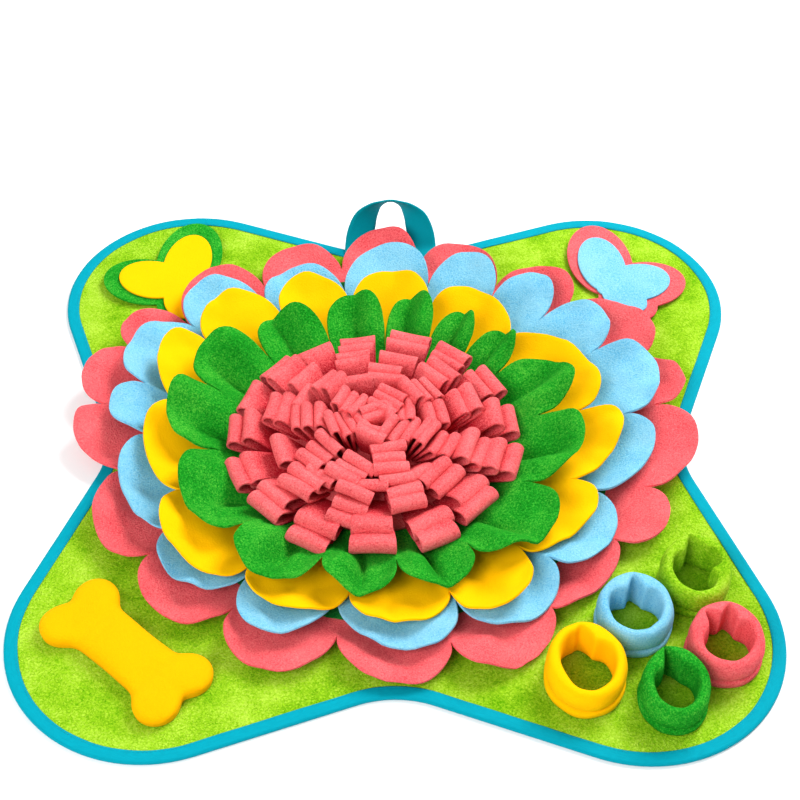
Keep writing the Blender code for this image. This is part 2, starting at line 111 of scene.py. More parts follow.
def ramp(tree, factor, stops, place):
    """Colour ramp through (position, colour) stops."""
    made = node(tree, "ShaderNodeValToRGB", place, Fac=factor)
    elements = made.color_ramp.elements
    while len(elements) < len(stops):
        elements.new(0.5)
    for element, (position, colour) in zip(elements, stops):
        element.position = position
        element.color = (*colour, 1)
    return made.outputs["Color"]


def maths(tree, place, operation, *values):
    """Output of a maths node on sockets or numbers."""
    made = node(tree, "ShaderNodeMath", place, operation=operation)
    for socket, value in zip(made.inputs, values):
        if isinstance(value, bpy.types.NodeSocket):
            tree.links.new(value, socket)
        else:
            socket.default_value = value
    return made.outputs[0]


def remap(tree, place, value, source, target):
    """A value taken from one range to another."""
    made = node(tree, "ShaderNodeMapRange", place, Value=value)
    for name, number in zip(("From Min", "From Max", "To Min", "To Max"), source + target):
        made.inputs[name].default_value = number
    return made.outputs[0]


# Fleece: size of its specks in mm, contrast of the specks and of the wide patches, bump, sheen.
Pile = namedtuple("Pile", "size contrast patch bump sheen")
NOISE_RANGE = (0.3, 0.7)
# Shares of the way up the flat map over which the painted shade at a strip's root fades out.
ROOT_SHADE_RANGE = (0.35, 0.92)


def fleece(name, deep, middle, pale, pile, painted_root_shade=0):
    """Fleece: curled pile as fine specks of three tones, in patches that lie lighter or darker.

    Where a root shade is given, its tone deepens by that much down to the roots of the flat map:
    painted shade, for the shade in the gaps between folded strips.
    """
    material, tree, shader = new_material(name)
    place = node(tree, "ShaderNodeTexCoord", (-1400, 0)).outputs["Object"]
    specks = node(tree, "ShaderNodeTexNoise", (-1150, 200), Vector=place, Scale=1 / (pile.size * MM),
                  Detail=3.0, Roughness=0.62, Distortion=0.7).outputs["Fac"]
    patches = node(tree, "ShaderNodeTexNoise", (-1150, -60), Vector=place, Scale=26.0, Detail=3.0,
                   Roughness=0.55).outputs["Fac"]
    half = pile.contrast / 2
    spread = remap(tree, (-900, 200), specks, NOISE_RANGE, (0.5 - half, 0.5 + half))
    drift = remap(tree, (-900, -60), patches, NOISE_RANGE, (-pile.patch / 2, pile.patch / 2))
    tone = maths(tree, (-680, 100), "ADD", spread, drift)
    # Painted shade: the tone darkens towards the roots of the flat map.
    if painted_root_shade:
        flat = node(tree, "ShaderNodeTexCoord", (-1400, 400)).outputs["UV"]
        split = node(tree, "ShaderNodeSeparateXYZ", (-1150, 400), Vector=flat)
        below = remap(tree, (-900, 400), split.outputs["Y"], ROOT_SHADE_RANGE, (-painted_root_shade, 0))
        tone = maths(tree, (-570, 300), "ADD", tone, below)
    colour = ramp(tree, tone, ((0.0, deep), (0.5, middle), (1.0, pale)), (-460, 100))
    bump = node(tree, "ShaderNodeBump", (-300, -250), Height=specks, Strength=pile.bump,
                Distance=pile.size * MM)
    settle(shader, Base_Color=colour, Normal=bump.outputs["Normal"], Roughness=0.95,
           Specular_IOR_Level=0.05, Sheen_Weight=pile.sheen, Sheen_Roughness=0.55,
           Sheen_Tint=(*pale, 1))
    return material


def ribbed(name, dark, light, rib, thread, sheen):
    """Woven tape: ribs across its length and finer threads along it, from its own flat map."""
    material, tree, shader = new_material(name)
    place = node(tree, "ShaderNodeTexCoord", (-1400, 0)).outputs["UV"]
    split = node(tree, "ShaderNodeSeparateXYZ", (-1200, 0), Vector=place)
    waves = []
    for axis, pitch in (("X", rib), ("Y", thread)):
        turns = maths(tree, (-1100, 0), "MULTIPLY", split.outputs[axis], 2 * pi / pitch)
        waves.append(maths(tree, (-1000, 0), "SINE", turns))
    weave = maths(tree, (-800, 20), "MULTIPLY", *waves)
    wear = node(tree, "ShaderNodeTexNoise", (-1000, -300), Scale=90.0, Detail=4.0)
    mixed = remap(tree, (-620, 20), weave, (-1, 1), (0, 0.5))
    tone = maths(tree, (-450, 20), "MULTIPLY_ADD", wear.outputs["Fac"], 0.5, mixed)
    colour = ramp(tree, tone, ((0.0, dark), (1.0, light)), (-280, 60))
    bump = node(tree, "ShaderNodeBump", (-280, -250), Height=weave, Strength=0.35,
                Distance=0.25 * MM)
    settle(shader, Base_Color=colour, Normal=bump.outputs["Normal"], Roughness=0.7,
           Specular_IOR_Level=0.04, Sheen_Weight=sheen)
    return material


LIME = fleece("lime_fleece", (0.10, 0.34, 0.0), (0.29, 0.56, 0.012), (0.48, 0.74, 0.06),
              Pile(1.9, 0.8, 0.6, 1.2, 0.02))
CORAL = fleece("coral_fleece", (0.62, 0.02, 0.035), (0.93, 0.12, 0.135), (1.0, 0.24, 0.24),
               Pile(1.4, 0.65, 0.2, 1.2, 0.02))
# Coral of the folded strips, with painted shade: its tone deepens by 0.5 towards their roots, deep in
# the gaps between them; the cloth is one coral all along.
STRIP_CORAL = fleece("strip_fleece_painted_shade", (0.62, 0.010, 0.026), (0.97, 0.145, 0.155), (1.0, 0.29, 0.29),
                     Pile(1.4, 0.65, 0.2, 1.4, 0.02), 0.5)
SKY = fleece("sky_fleece", (0.01, 0.30, 0.62), (0.20, 0.53, 0.73), (0.36, 0.67, 0.82),
             Pile(1.4, 0.6, 0.2, 1.0, 0.02))
YELLOW = fleece("yellow_fleece", (0.90, 0.41, 0.0), (0.98, 0.49, 0.0), (1.0, 0.54, 0.0),
                Pile(1.5, 0.3, 0.15, 0.4, 0.0))
# Lit copy of the yellow fleece, with painted shade: the bone is the same cloth as the yellow petals,
# given a deeper, less green yellow against the stronger light that falls on it.
BONE_LIT_YELLOW = fleece("bone_fleece_lit_copy", (0.88, 0.35, 0.0), (0.96, 0.415, 0.0), (1.0, 0.46, 0.0),
                     Pile(1.5, 0.3, 0.15, 0.5, 0.0))
GREEN = fleece("green_fleece", (0.0, 0.13, 0.002), (0.012, 0.34, 0.018), (0.12, 0.60, 0.05),
               Pile(1.6, 0.75, 0.3, 1.4, 0.02))
DARK_GREEN = fleece("dark_green_fleece", (0.0, 0.07, 0.01), (0.005, 0.15, 0.02), (0.03, 0.25, 0.04),
                    Pile(1.8, 0.8, 0.2, 0.7, 0.05))
TAPE = ribbed("teal_tape", (0.0, 0.20, 0.27), (0.0, 0.38, 0.49), 0.9 * MM, 0.9 * MM, 0.0)
WEBBING = ribbed("teal_webbing", (0.0, 0.18, 0.23), (0.0, 0.36, 0.44), 1.6 * MM, 2.4 * MM, 0.0)
THREAD = ribbed("teal_thread", (0.0, 0.20, 0.28), (0.0, 0.40, 0.50), 0.4 * MM, 0.4 * MM, 0.1)


# ---------------- meshes

WELD = 0.002 * MM


class Patches:
    """Points, faces and flat map of several grids that make one piece."""

    def __init__(self):
        self.points = []
        self.faces = []
        self.flat = []

    def add_grid(self, rows, wrap=False, flat=None):
        """Quads through rows of points, which all have the same length."""
        first = len(self.points)
        columns = len(rows[0])
        for row in rows:
            self.points += row
        if flat:
            self.flat += [spot for row in flat for spot in row]
        else:
            self.flat += [(0, 0)] * (len(rows) * columns)
        steps = columns if wrap else columns - 1
        for row in range(len(rows) - 1):
            for column in range(steps):
                here = first + row * columns + column
                beside = first + row * columns + (column + 1) % columns
                self.faces.append((here, beside, beside + columns, here + columns))

    def add_face(self, points):
        """One flat face."""
        first = len(self.points)
        self.points += points
        self.flat += [(0, 0)] * len(points)
        self.faces.append(tuple(range(first, len(self.points))))

    def mesh(self, name):
        """Smooth mesh with the flat map as its UV map, its grids joined where they meet."""
        made = bpy.data.meshes.new(name)
        made.from_pydata(self.points, [], self.faces)
        layer = made.uv_layers.new(name="flat")
        for loop in made.loops:
            layer.data[loop.index].uv = self.flat[loop.vertex_index]
        joined = bmesh.new()
        joined.from_mesh(made)
        bmesh.ops.remove_doubles(joined, verts=joined.verts, dist=WELD)
        joined.to_mesh(made)
        joined.free()
        made.shade_smooth()
        return made


def add_piece(name, patch, material, replaced=()):
    """A piece on the part's one body, in place of its solids."""
    mesh = patch.mesh(name)
    piece = bpy.data.objects.new(name, mesh)
    bpy.context.scene.collection.objects.link(piece)
    mesh.materials.append(material)
    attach(piece, "root")
    if replaced:
        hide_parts(*replaced)
    return piece


CUT_ROUND = 0.6 * MM
CUT_ANGLE = radians(50)


def thicken(piece, thickness, offset=1):
    """Even thickness with softly rounded cut edges."""
    solid = piece.modifiers.new("thickness", "SOLIDIFY")
    solid.thickness = thickness
    solid.offset = offset
    soft = piece.modifiers.new("soft_edges", "BEVEL")
    soft.width = CUT_ROUND
    soft.segments = 2
    soft.limit_method = "ANGLE"
    soft.angle_limit = CUT_ANGLE


def smooth_step(share):
    """0 to 1 with level ends."""
    share = max(0.0, min(1.0, share))
    return share * share * (3 - 2 * share)


def arc(centre, radius, start, stop, steps):
    """Points on an arc, both ends included, angles in radians."""
    turns = [start + (stop - start) * step / steps for step in range(steps + 1)]
    return [(centre[0] + radius * cos(turn), centre[1] + radius * sin(turn)) for turn in turns]


def circle(x, y, radius, height, steps):
    """Points round a level circle."""
    turns = [2 * pi * step / steps for step in range(steps)]
    return [(x + radius * cos(turn), y + radius * sin(turn), height) for turn in turns]


def mat_outline(inset, waist_steps=7, side_steps=6, lobe_steps=20):
    """The mat's outline moved in by inset: half a waist, a side and half a lobe, eight times."""
    waist_centre = (0, WAIST_WIDTH / 2 + WAIST_RADIUS)
    across = LOBE_CENTRE - waist_centre[1]
    apart = hypot(LOBE_CENTRE, across)
    tangent = atan2(across, LOBE_CENTRE) - acos((LOBE_RADIUS + WAIST_RADIUS) / apart)
    waist = arc(waist_centre, WAIST_RADIUS + inset, -pi / 2, tangent, waist_steps)
    lobe = arc((LOBE_CENTRE, LOBE_CENTRE), LOBE_RADIUS - inset, tangent + pi, pi / 4, lobe_steps)
    side = []
    for step in range(1, side_steps):
        share = step / side_steps
        side.append(tuple(a + (b - a) * share for a, b in zip(waist[-1], lobe[0])))
    eighth = waist + side + lobe
    quarter = [(y, x) for x, y in eighth] + eighth[-2:0:-1]
    outline = []
    for turn in range(4):
        c, s = round(cos(turn * pi / 2)), round(sin(turn * pi / 2))
        outline += [(c * x - s * y, s * x + c * y) for x, y in quarter]
    return outline


# ---------------- mat, binding, handle

# Hollows: their depth and size, the mean share of the depth and how far two sizes of noise move it.
HOLLOW_DEPTH = 2.2 * MM
HOLLOW_SIZE = 55 * MM
HOLLOW_MEAN = 0.42
HOLLOW_WIDE = 0.75
HOLLOW_FINE = 0.22
FINER = 2.7
MAT_RINGS = 30
LEVEL_RINGS = 4
MAT_TOP = MAT_THICK - 0.4 * MM


def mat_hollow(x, y):
    """Depth of the soft hollows in the mat's top, from the way it has been handled."""
    wide = noise.noise(Vector((x / HOLLOW_SIZE, y / HOLLOW_SIZE, 1.7)))
    fine = noise.noise(Vector((x / HOLLOW_SIZE * FINER, y / HOLLOW_SIZE * FINER, 5.1)))
    return HOLLOW_DEPTH * max(0.0, min(1.0, HOLLOW_MEAN + HOLLOW_WIDE * wide + HOLLOW_FINE * fine))


def mat_cloth():
    """Lime fleece panel with soft hollows, pressed thin under the binding."""
    patch = Patches()
    rim = mat_outline(GAP + BINDING_THICK)
    grip = mat_outline(BINDING_WIDTH + GAP)
    body = mat_outline(BINDING_WIDTH + GRIP_SLOPE)
    rows = [[(x, y, 0) for x, y in body], [(x, y, RIM_LOW) for x, y in grip],
            [(x, y, RIM_LOW) for x, y in rim], [(x, y, RIM_TOP) for x, y in rim],
            [(x, y, RIM_TOP) for x, y in grip]]
    for ring in range(MAT_RINGS):
        share = 1 - ring / MAT_RINGS
        depth_share = smooth_step(ring / LEVEL_RINGS)
        rows.append([(x * share, y * share,
                      MAT_TOP - depth_share * mat_hollow(x * share, y * share)) for x, y in body])
    patch.add_grid(rows, wrap=True)
    centre = len(patch.points)
    patch.points += [(0, 0, MAT_TOP), (0, 0, 0)]
    patch.flat += [(0, 0)] * 2
    columns = len(body)
    last = (len(rows) - 1) * columns
    for column in range(columns):
        beside = (column + 1) % columns
        patch.faces.append((last + column, last + beside, centre))
        patch.faces.append((beside, column, centre + 1))
    piece = add_piece("mat_cloth", patch, LIME, ["mat_panel"])


# How far the tape's width and its top wander, how fast along the mat's edge (a metre), and the
# last step of its flat map's length.
TAPE_WANDER = 0.5 * MM
TAPE_LIFT = 0.35 * MM
WANDER_RATE = 25
LIFT_RATE = 40
TAPE_CLOSE = 4 * MM


def binding_tape():
    """Tape folded over the mat's rim, a little uneven in width and height."""
    outline = mat_outline(0)
    inner = mat_outline(BINDING_WIDTH)
    patch = Patches()
    rows, flat = [], []
    length = 0
    for index, ((x0, y0), (x1, y1)) in enumerate(zip(outline, inner)):
        before = outline[index - 1]
        if index:
            length += hypot(x0 - before[0], y0 - before[1])
        inward = Vector((x1 - x0, y1 - y0, 0)).normalized()
        wander = TAPE_WANDER * noise.noise(Vector((x0 * WANDER_RATE, y0 * WANDER_RATE, 3)))
        lift = TAPE_LIFT * noise.noise(Vector((x0 * LIFT_RATE, y0 * LIFT_RATE, 9)))
        top = BINDING_TOP + lift
        width = BINDING_WIDTH + wander
        profile = ((width, 0.0), (1.2 * MM, 0.0), (0.35 * MM, 0.5 * MM), (0.0, 0.4 * top),
                   (0.25 * MM, 0.75 * top), (1.1 * MM, top * 0.97), (3 * MM, top),
                   (width * 0.6, top - 0.2 * MM), (width - 0.8 * MM, top - 0.15 * MM),
                   (width, top - 0.6 * MM), (width - 0.1 * MM, top - BINDING_THICK),
                   (BINDING_THICK, top - BINDING_THICK), (BINDING_THICK, BINDING_THICK),
                   (width, BINDING_THICK))
        row, spots = [], []
        walked = 0
        last = profile[0]
        for inset, height in profile:
            walked += hypot(inset - last[0], height - last[1])
            last = (inset, height)
            row.append((x0 + inward.x * inset, y0 + inward.y * inset, height))
            spots.append((length, walked))
        rows.append(row)
        flat.append(spots)
    rows.append(rows[0])
    flat.append([(length + TAPE_CLOSE, spot[1]) for spot in flat[0]])
    patch.add_grid(rows, wrap=True, flat=flat)
    piece = add_piece("binding_tape", patch, TAPE, ["edge_binding"])


STITCH_LONG = 2.6 * MM
STITCH_PITCH = 3.6 * MM
STITCH_HALF = 0.28 * MM
STITCH_LOW = 0.8
STITCH_SUNK = 0.1 * MM
STITCH_IN = 1.8 * MM


def add_stitch(patch, start, stop, up):
    """One short stitch of thread: a low rounded bead with pointed ends."""
    along = stop - start
    side = along.cross(up).normalized() * STITCH_HALF
    rise = up.normalized() * STITCH_HALF * STITCH_LOW
    rows = []
    for share, fat in ((0, 0.25), (0.2, 1), (0.8, 1), (1, 0.25)):
        middle = start + along * share
        rows.append([tuple(middle + side * fat * a + rise * fat * b)
                     for a, b in ((-1, -0.5), (-0.7, 0.8), (0.7, 0.8), (1, -0.5))])
    patch.add_grid(rows, wrap=True)


def walk(points, pitch):
    """Evenly spaced places along a closed line, each with its direction."""
    carry = 0.0
    for here, there in zip(points, points[1:] + points[:1]):
        a, b = Vector(here), Vector(there)
        long = (b - a).length
        if long == 0:
            continue
        along = (b - a) / long
        while carry < long:
            yield a + along * carry, along
            carry += pitch
        carry -= long


def binding_stitches():
    """Line of stitches along the binding's inner edge."""
    patch = Patches()
    line = [(x, y, BINDING_TOP - STITCH_SUNK) for x, y in mat_outline(BINDING_WIDTH - STITCH_IN)]
    for place, along in walk(line, STITCH_PITCH):
        add_stitch(patch, place, place + along * STITCH_LONG, Vector((0, 0, 1)))
    add_piece("binding_stitches", patch, THREAD)


# Places on the handle's middle line, from its sewn end up: half the loop's width, y and z in mm,
# and the webbing's turn in degrees towards its edge.
HandleStation = namedtuple("HandleStation", "side y z turn")
HANDLE_STATIONS = [HandleStation(*row) for row in (
    (35, 274, 5.6, 0), (35, 286, 5.6, 0), (35, 298, 8, 0), (33, 309, 18, 14),
    (27, 320, 31, 34), (17, 327, 41, 62), (7, 330, 45.5, 84), (0, 330.5, 46.5, 90))]
ON_EDGE = Vector((0, 0.74, -0.67))
HANDLE_STEPS = 6
HANDLE_COLUMNS = 8
HANDLE_BOW = 0.15


def through(values, share):
    """Catmull-Rom value at a share of the way through rows of numbers."""
    spot = share * (len(values) - 1)
    index = min(int(spot), len(values) - 2)
    t = spot - index
    p0, p1 = values[max(index - 1, 0)], values[index]
    p2, p3 = values[index + 1], values[min(index + 2, len(values) - 1)]
    return [0.5 * (2 * b + (c - a) * t + (2 * a - 5 * b + 4 * c - d) * t * t
                   + (3 * b - a - 3 * c + d) * t ** 3) for a, b, c, d in zip(p0, p1, p2, p3)]


def handle_webbing():
    """Webbing loop that turns on edge at its top."""
    stations = []
    for side, rows in ((-1, HANDLE_STATIONS), (1, HANDLE_STATIONS[-2::-1])):
        for row in rows:
            turn = row.turn if side < 0 else 180 - row.turn
            stations.append((HANDLE_MIDDLE_X / MM + side * row.side, row.y, row.z, turn))
    steps = HANDLE_STEPS * (len(stations) - 1)
    line = [through(stations, step / steps) for step in range(steps + 1)]
    patch = Patches()
    rows, flat = [], []
    length = 0
    for step, (x, y, z, turn) in enumerate(line):
        before, after = line[max(step - 1, 0)], line[min(step + 1, steps)]
        along = Vector([a - b for a, b in zip(after[:3], before[:3])])
        length += along.length / 2 * MM
        along.normalize()
        width = Vector((1, 0, 0)) * cos(radians(turn)) + ON_EDGE * sin(radians(turn))
        width = (width - along * width.dot(along)).normalized() * WEBBING_WIDTH / 2
        face = width.cross(along).normalized() * WEBBING_THICK / 2
        middle = Vector((x, y, z)) * MM
        row, spots = [], []
        shares = [2 * index / HANDLE_COLUMNS - 1 for index in range(HANDLE_COLUMNS + 1)]
        for share in shares:
            bow = HANDLE_BOW * (1 - share * share)
            row.append(tuple(middle + width * share + face * (1 + bow)))
            spots.append((length, share * WEBBING_WIDTH / 2))
        for share in shares[::-1]:
            row.append(tuple(middle + width * share - face))
            spots.append((length, share * WEBBING_WIDTH / 2))
        rows.append(row)
        flat.append(spots)
    patch.add_grid(rows, wrap=True, flat=flat)
    patch.add_face(rows[0])
    patch.add_face(rows[-1][::-1])
    piece = add_piece("handle_webbing", patch, WEBBING, ["carry_handle"])


# ---------------- petal sheets

# One petal: direction of its tip in degrees and reach in mm, both from the sheet's middle; end and
# end_reach, the same for the notch after it, anticlockwise; ridge, how far that notch stands up in
# mm; the place of the petal's fold across it, from -1 to 1, and the fold's height in mm; tip, the
# lift of its tip in mm.
Petal = namedtuple("Petal", "angle reach end end_reach ridge fold_at fold tip")
PINK_PETALS = [Petal(*row) for row in (
    (11, 309, 18, 268, 8, 0, -3, 0), (27, 304, 41, 254, 6, 0.1, -3, 2),
    (50, 285, 60, 238, 6, 0, -3, 2), (71, 276, 81, 237, 6, 0, -3, 2),
    (90, 281, 101, 237, 6, 0.2, -3, 2), (112, 274, 122, 240, 6, 0, -3, 2),
    (133, 285, 145, 244, 6, 0, -2, 2), (152, 296, 160, 268, 8, 0, -3, 2),
    (168, 307, 177, 275, 9, 0, -3, 0), (184, 303, 194, 255, 10, 0.3, -4, -1),
    (207, 301, 218, 270, 9, 0.2, -4, -2), (229, 305, 239, 262, 9, 0, -3, -3),
    (249, 307, 261, 257, 10, -0.1, -3, -3), (273, 303, 283, 270, 10, 0, -3, -4),
    (292, 308, 304, 272, 9, 0.4, 3, -4), (318, 280, 326, 260, 10, 0.1, -6, 5),
    (334, 296, 342, 264, 8, -0.2, -3, -2), (355, 309, 364, 269, 8, 0.1, 4, 0))]
BLUE_PETALS = [Petal(*row) for row in (
    (14, 282, 24, 232, 6, -0.2, -3, 1), (34, 268, 42, 218, 6, 0, -3, 1),
    (50, 259, 58, 208, 6, 0, -3, 2), (67, 254, 77, 204, 6, 0, -3, 2),
    (88, 251, 102, 198, 6, 0, -3, 2), (115, 240, 126, 203, 6, 0.2, -3, 2),
    (135, 264, 147, 230, 6, 0.2, -3, 2), (159, 274, 170, 239, 8, 0.1, -4, 1),
    (178, 269, 185, 225, 9, -0.1, -4, 0), (197, 262, 215, 238, 8, 0, -5, -1),
    (226, 268, 237, 221, 8, 0, -3, -2), (247, 270, 259, 209, 10, -0.3, -3, -3),
    (275, 267, 287, 223, 9, 0.1, -3, -4), (299, 268, 312, 227, 8, 0.2, -3, -4),
    (327, 256, 337, 212, 9, 0, -4, -2), (352, 264, 361, 235, 8, -0.3, -4, -1))]
YELLOW_PETALS = [Petal(*row) for row in (
    (22, 224, 46, 179, 6, 0, -2, 1), (63, 213, 75, 175, 6, 0, -2, 2),
    (87, 218, 101, 177, 6, 0, -2, 2), (113, 223, 124, 184, 6, 0.2, -2, 2),
    (135, 236, 149, 202, 6, 0.2, -2, 2), (155, 246, 171, 201, 6, 0, -3, 1),
    (182, 232, 203, 207, 6, 0.3, -3, 1), (219, 245, 234, 207, 6, 0.4, -4, -1),
    (248, 230, 261, 194, 3, -0.3, 4, -2), (272, 228, 287, 202, 5, 0.7, 5, -3),
    (300, 237, 311, 187, 8, -0.5, -1, 0), (332, 222, 341, 187, 6, -0.2, -3, -1),
    (361, 232, 368, 190, 6, 0, -2, 1))]
GREEN_PETALS = [Petal(*row) for row in (
    (20, 201, 36, 143, 12, 0.15, -13.2, 6), (46, 186, 53, 131, 11, 0.1, -11.8, 4),
    (61, 185, 69, 131, 12, 0, -11.8, 3), (78, 190, 87, 133, 11, 0.15, -13.2, 3),
    (98, 187, 110, 135, 12, -0.1, -11.8, 3), (124, 190, 136, 141, 12, 0.1, -13.2, 3),
    (148, 203, 162, 157, 13, 0.2, -14.5, 3), (174, 204, 187, 148, 12, 0.15, -14.5, 2),
    (206, 199, 224, 155, 13, 0.15, -15.9, 1), (239, 202, 252, 148, 13, 0.05, -15.9, -2),
    (266, 189, 277, 149, 14, 0.05, -17.1, -4), (289, 191, 302, 155, 14, 0, -17.1, -4),
    (324, 199, 338, 148, 13, -0.1, -15.9, -2), (359, 199, 369, 149, 12, 0.1, -13.2, 4))]

# Flower sheets, lowest first: where their middles are, the seam circle that holds them down, and
# the height of the sheet at the front and the back, a radius away from its middle. Round is how
# blunt the petals are, cup the power by which they curve up to their notches: 1 is a V, 3 a wide
# bowl. Lobe is how far a petal's clockwise half bulges up, and crease the half width of its fold
# as a share of half the petal's width. Lengths in mm but base.
Flower = namedtuple("Flower", "name slot x y base seam front back radius round cup lobe crease petals")
PINK_FLOWER = Flower("pink_petals", "coral_fleece", -12, 27, PINK_BASE, 236, 14, 34, 298,
                     0.52, 2.4, 3, 0.3, PINK_PETALS)
BLUE_FLOWER = Flower("blue_petals", "light_blue_fleece", -12, 19, BLUE_BASE, 180, 25, 41, 261,
                     0.5, 2.4, 3, 0.3, BLUE_PETALS)
YELLOW_FLOWER = Flower("yellow_petals", "yellow_fleece", -11, 3, YELLOW_BASE, 145, 33, 48, 226,
                       0.5, 2.2, 2, 0.3, YELLOW_PETALS)
GREEN_FLOWER = Flower("green_petals", "green_fleece", -18, -12, GREEN_BASE, 108, 43, 50, 191,
                      0.4, 1.9, 14, 0.15, GREEN_PETALS)
# Lobe: its place and half width across a petal. Fold: its depth at the seam, and what it loses to
# the edge, as shares of the petal's own.
LOBE_AT = -0.5
LOBE_HALF = 0.36
FOLD_ROOT = 1.3
FOLD_FADE = 1.1
CUP_FLOOR = 0.01
SHEET_RISE = 1.25
ROOT_IN = 12
PETAL_COLUMNS = 28
PETAL_ROWS = 18
# Ripples: height and size in mm of the ruffle, its share at the seam, height and size in mm of
# the frill, and the most that a petal's own wave has, in mm. The bend is full at 1 / BEND_SOON of
# the way out, and folds and tips bend no further than at OUT_MOST.
RUFFLE = 5
RUFFLE_SIZE = 34
RUFFLE_ROOT = 0.4
FRILL = 4
FRILL_SIZE = 18
PETAL_WAVE = 1.2
BEND_SOON = 1.5
OUT_MOST = 1.2
PETAL_SEEDS = 31


def sheet_height(flower, radius, angle):
    """Underside of a flower sheet before its petals bend."""
    tip = (flower.front + (flower.back - flower.front) * (1 + sin(angle)) / 2) * MM
    out = max(0, (radius - flower.seam * MM) / ((flower.radius - flower.seam) * MM))
    return flower.base + (tip - flower.base) * out ** SHEET_RISE


def petal_bend(flower, petal, before, spot, out):
    """Bend of a petal in mm at a place across it and out along it."""
    ridge = (before if spot < 0 else petal).ridge
    beside = (spot - petal.fold_at) / (1 - petal.fold_at * spot)
    cup = ridge * (beside * beside + CUP_FLOOR) ** (flower.cup / 2)
    lobe = flower.lobe * exp(-((spot - LOBE_AT) / LOBE_HALF) ** 2)
    fold = petal.fold * exp(-((spot - petal.fold_at) / flower.crease) ** 2)
    loose = 1 - spot ** 4
    return cup + (lobe + fold * (FOLD_ROOT - FOLD_FADE * out) + petal.tip * out ** 3) * loose


def petal_edge(petal, before, spot):
    """A petal's edge at a place across it: its direction in degrees, and in mm the reach of the line
    between the notches, the edge's rise over that line, and the tip's rise."""
    start = before.end - 360 * round((before.end - petal.angle) / 360)
    half = (petal.end - start) / 2
    tip = (petal.angle - start) / half - 1
    skewed = (spot - tip) / (1 - tip * spot)
    base = before.end_reach + (petal.end_reach - before.end_reach) * (spot + 1) / 2
    tip_base = before.end_reach + (petal.end_reach - before.end_reach) * (tip + 1) / 2
    rise = (petal.reach - tip_base) * max(0, 1 - skewed * skewed)
    return start + half * (spot + 1), base, rise, petal.reach - tip_base


def petal_rows(flower, petal, before, number):
    """Grid of points of one petal, from inside the seam to its edge."""
    wave = Random(number * PETAL_SEEDS + flower.seam).uniform(-PETAL_WAVE, PETAL_WAVE)
    rows = [[] for _ in range(PETAL_ROWS + 1)]
    root = flower.seam - ROOT_IN
    for column in range(PETAL_COLUMNS + 1):
        spot = sin(pi / 2 * (2 * column / PETAL_COLUMNS - 1))
        turn, base, rise, full = petal_edge(petal, before, spot)
        edge = base + full * (rise / full) ** flower.round
        angle = radians(turn)
        for row in range(PETAL_ROWS + 1):
            radius = root + (edge - root) * row / PETAL_ROWS
            out = max(0, (radius - flower.seam) / (flower.radius - flower.seam))
            bend = petal_bend(flower, petal, before, spot, min(out, OUT_MOST))
            bend += wave * sin(2 * pi * spot) * out
            place = Vector((radius * cos(angle), radius * sin(angle), flower.seam))
            bend += RUFFLE * noise.noise(place / RUFFLE_SIZE) * (RUFFLE_ROOT + out)
            bend += FRILL * noise.noise(place / FRILL_SIZE) * out ** 2
            height = sheet_height(flower, radius * MM, angle)
            height += bend * smooth_step(out * BEND_SOON) * MM
            rows[row].append((flower.x * MM + radius * MM * cos(angle),
                              flower.y * MM + radius * MM * sin(angle), max(height, flower.base)))
    return rows


def flower_sheet(flower, material):
    """One scalloped layer of the big flower: a flat middle and its petals."""
    patch = Patches()
    edge, root = [], []
    for index, petal in enumerate(flower.petals):
        rows = petal_rows(flower, petal, flower.petals[index - 1], index)
        patch.add_grid([row[::-1] for row in rows])
        edge += rows[-1]
        root += rows[0][:-1]
    patch.add_face(root)
    piece = add_piece(flower.name + "_cloth", patch, material, [flower.name])
    thicken(piece, FLEECE)


def disc_cloth():
    """Dark green fleece disc under the blue petals."""
    patch = Patches()
    patch.add_face(circle(BLUE_FLOWER.x * MM, BLUE_FLOWER.y * MM, DISC_RADIUS, DISC_BASE, DISC_STEPS))
    piece = add_piece("disc_cloth", patch, DARK_GREEN, ["flower_disc"])
    thicken(piece, DISC_THICK)


# ---------------- corner flowers

# Leaves: direction in degrees, and length and width in mm. The middle of a leaf's oval is
# LEAF_MIDDLE of its length out, and a leaf LEAF_LONG long lifts by LEAF_LIFT at its tip.
Leaf = namedtuple("Leaf", "angle length width")
CornerSheet = namedtuple("CornerSheet", "name slot material x y base leaves")
CORNER_SHEETS = (
    CornerSheet("left_flower_green", "green_fleece", GREEN, -231, 235, PINK_BASE,
                (Leaf(82, 97, 70), Leaf(172, 84, 70), Leaf(280, 58, 56))),
    CornerSheet("left_flower_yellow", "yellow_fleece", YELLOW, -231, 235, DISC_BASE,
                (Leaf(82, 77, 51), Leaf(167, 68, 56), Leaf(280, 54, 40))),
    CornerSheet("right_flower_pink", "coral_fleece", CORAL, 231, 235, PINK_BASE,
                (Leaf(98, 97, 70), Leaf(8, 84, 70), Leaf(312, 62, 56))),
    CornerSheet("right_flower_blue", "light_blue_fleece", SKY, 231, 235, DISC_BASE,
                (Leaf(98, 77, 51), Leaf(13, 68, 56), Leaf(312, 50, 40))),
)
LEAF_HUB = 14 * MM
LEAF_LIFT = 5 * MM
LEAF_LONG = 90 * MM
LEAF_ROWS = 14
LEAF_COLUMNS = 240
LEAF_MIDDLE = 0.45
LEAF_CORE = 0.12


def leaf_edge(sheet, angle):
    """Edge radius of a corner flower's sheet: the far side of its oval leaves."""
    reach = LEAF_HUB
    for leaf in sheet.leaves:
        off = angle - radians(leaf.angle)
        middle = LEAF_MIDDLE * leaf.length * MM
        long, wide = (1 - LEAF_MIDDLE) * leaf.length * MM, leaf.width / 2 * MM
        a = (cos(off) / long) ** 2 + (sin(off) / wide) ** 2
        b = cos(off) * middle / long ** 2
        reach = max(reach, (b + sqrt(b * b + a * (1 - (middle / long) ** 2))) / a)
    return reach


